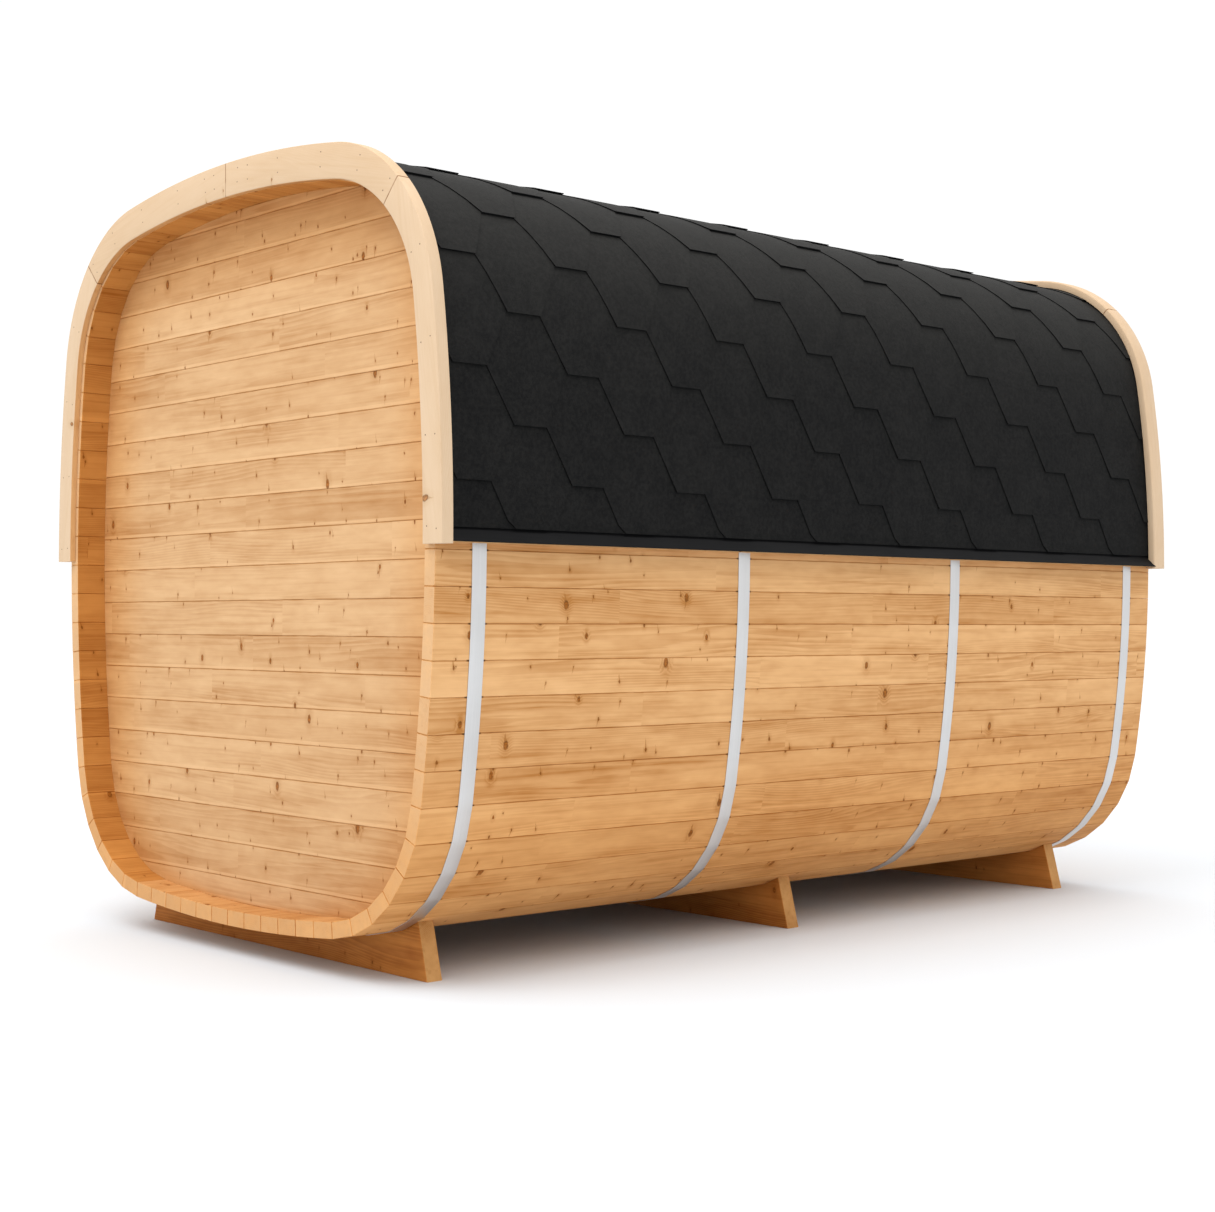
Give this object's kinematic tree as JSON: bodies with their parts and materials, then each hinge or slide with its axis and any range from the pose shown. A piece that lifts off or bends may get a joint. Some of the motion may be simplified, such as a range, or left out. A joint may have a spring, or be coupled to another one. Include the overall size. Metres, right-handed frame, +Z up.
{
  "type": "outdoor cube sauna",
  "caption": "Outdoor sauna cabin of rounded-square stave hull with steel bands, hexagonal shingle roof, pale arch trim and timber cradles.",
  "frame": {"origin": "centre of the footprint on the ground, under the middle of the hull", "axes": "+Z up, +Y along the hull towards the door end, +X to the right seen from the blind end"},
  "size_m": [2.3008, 3.462, 2.4813],
  "materials": {
    "stave_timber": "planed spruce, oiled, honey tone",
    "wall_timber": "planed spruce boards, oiled",
    "trim_timber": "planed pale spruce, untreated",
    "cradle_timber": "planed pine, oiled",
    "door_timber": "planed spruce, oiled",
    "pull_timber": "turned hardwood, oiled",
    "band_steel": "brushed stainless strip",
    "hinge_steel": "brushed",
    "roof_deck": "rough sawn",
    "shingle": "charcoal mineral granules on bitumen felt",
    "drip_metal": "satin black"
  },
  "bodies": {
    "root": {"floor_staves": "stave_timber", "lower_left_staves": "stave_timber", "lower_right_staves": "stave_timber", "left_wall_staves": "stave_timber", "right_wall_staves": "stave_timber", "upper_left_staves": "stave_timber", "upper_right_staves": "stave_timber", "roof_staves": "stave_timber", "rear_wall_boards": "wall_timber", "front_wall_left": "wall_timber", "front_wall_right": "wall_timber", "front_wall_head": "wall_timber", "front_wall_sill": "wall_timber", "door_frame": "door_timber", "door_leaf": "door_timber", "door_handle": "pull_timber", "door_hinges": "hinge_steel", "band_rear": "band_steel", "band_mid_rear": "band_steel", "band_mid_front": "band_steel", "band_front": "band_steel", "roof_deck_left": "roof_deck", "shingles_left": "shingle", "drip_edge_left": "drip_metal", "roof_deck_right": "roof_deck", "shingles_right": "shingle", "drip_edge_right": "drip_metal", "rear_arch_left_post": "trim_timber", "rear_arch_left_bow": "trim_timber", "rear_arch_right_bow": "trim_timber", "rear_arch_right_post": "trim_timber", "front_arch_left_post": "trim_timber", "front_arch_left_bow": "trim_timber", "front_arch_right_bow": "trim_timber", "front_arch_right_post": "trim_timber", "cradle_rear": "cradle_timber", "cradle_middle": "cradle_timber", "cradle_front": "cradle_timber"}
  },
  "joints": []
}
